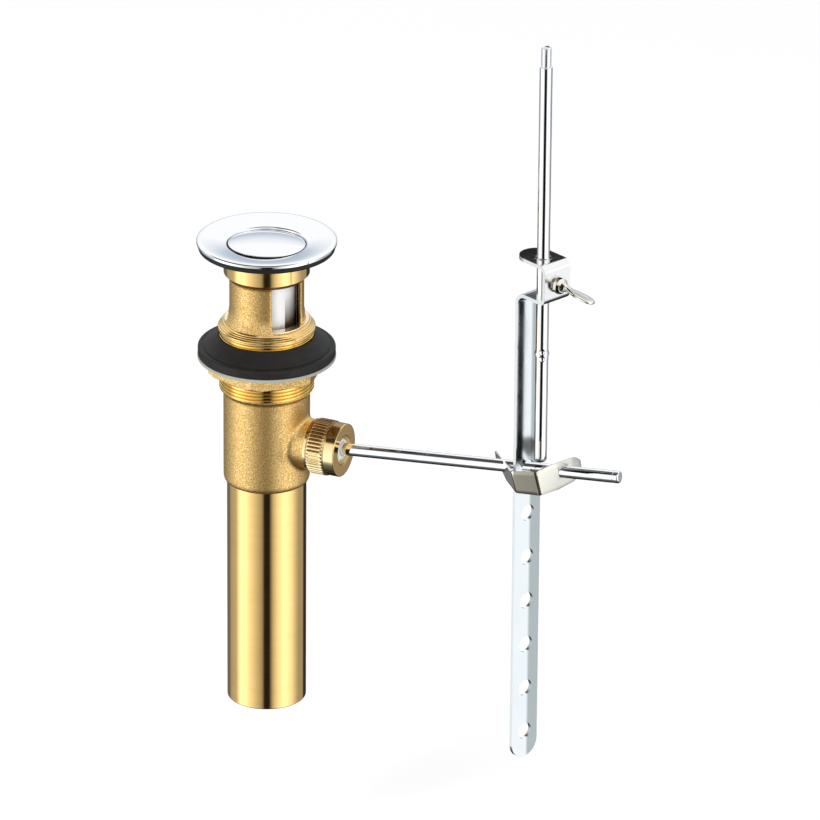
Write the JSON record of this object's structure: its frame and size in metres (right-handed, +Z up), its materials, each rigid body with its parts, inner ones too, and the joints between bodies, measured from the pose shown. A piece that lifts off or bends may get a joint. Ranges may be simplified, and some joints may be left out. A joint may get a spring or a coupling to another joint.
{
  "type": "pop up basin waste",
  "caption": "Brass basin waste with overflow windows and a lifting plug, worked by a ball pivot rod, a perforated strap and a lift rod.",
  "frame": {"origin": "on the waste's axis, in the plane where the flange gasket sits on the basin", "axes": "+Z up out of the basin along the waste's axis, +X along the side branch towards the strap"},
  "size_m": [0.1816, 0.056, 0.3084],
  "materials": {
    "chrome_plate": "polished chrome plate",
    "cast_brass": "sandblasted cast brass with machined threads and rings",
    "polished_brass": "polished brass tube",
    "turned_brass": "turned brass",
    "black_rubber": "moulded black rubber",
    "grey_plastic": "moulded grey plastic",
    "white_plastic": "moulded white nylon",
    "nickel_strip": "nickel plated spring steel",
    "plated_steel": "bright zinc plated steel strip"
  },
  "bodies": {
    "waste": {"flange": "chrome_plate", "flange_gasket": "black_rubber", "waste_body": "cast_brass", "rubber_washer": "black_rubber", "slip_washer": "grey_plastic", "back_nut": "cast_brass", "tail_pipe": "polished_brass", "gland_nut": "turned_brass", "ball_seat": "white_plastic", "ball_washer": "white_plastic"},
    "pivot": {"pivot_ball": "white_plastic", "pivot_rod": "chrome_plate", "spring_clip": "nickel_strip"},
    "plug": {"plug_cap": "chrome_plate", "plug_seal": "black_rubber", "plug_stem": "chrome_plate", "plug_foot": "white_plastic", "plug_lock_nut": "turned_brass"},
    "strap": {"strap": "plated_steel"},
    "thumb_screw": {"thumb_screw": "nickel_strip"},
    "lift_rod": {"lift_rod": "chrome_plate"}
  },
  "joints": [
    {"name": "strap_travel", "type": "slide", "parent": "waste", "child": "strap", "axis": [0, 0, -1], "range_m": [0, 0.0253]},
    {"name": "pivot_tilt", "type": "hinge", "parent": "waste", "child": "pivot", "pos_m": [0.02727, 0, -0.082], "axis": [0, 1, 0], "range_deg": [0, 16.7]},
    {"name": "plug_lift", "type": "slide", "parent": "waste", "child": "plug", "axis": [0, 0, 1], "range_m": [0, 0.008]},
    {"name": "lift_rod_adjust", "type": "slide", "parent": "strap", "child": "lift_rod", "axis": [0, 0, 1], "range_m": [-0.002, 0.02]},
    {"name": "thumb_screw_turn", "type": "hinge", "parent": "strap", "child": "thumb_screw", "pos_m": [0.1136, 0, 0.00975], "axis": [0.9135, -0.4067, 0], "continuous": true}
  ],
  "couplings": [
    {"joint": "pivot_tilt", "follows": "strap_travel", "rad_per_m": 11.465},
    {"joint": "plug_lift", "follows": "strap_travel", "ratio": 0.31588}
  ]
}
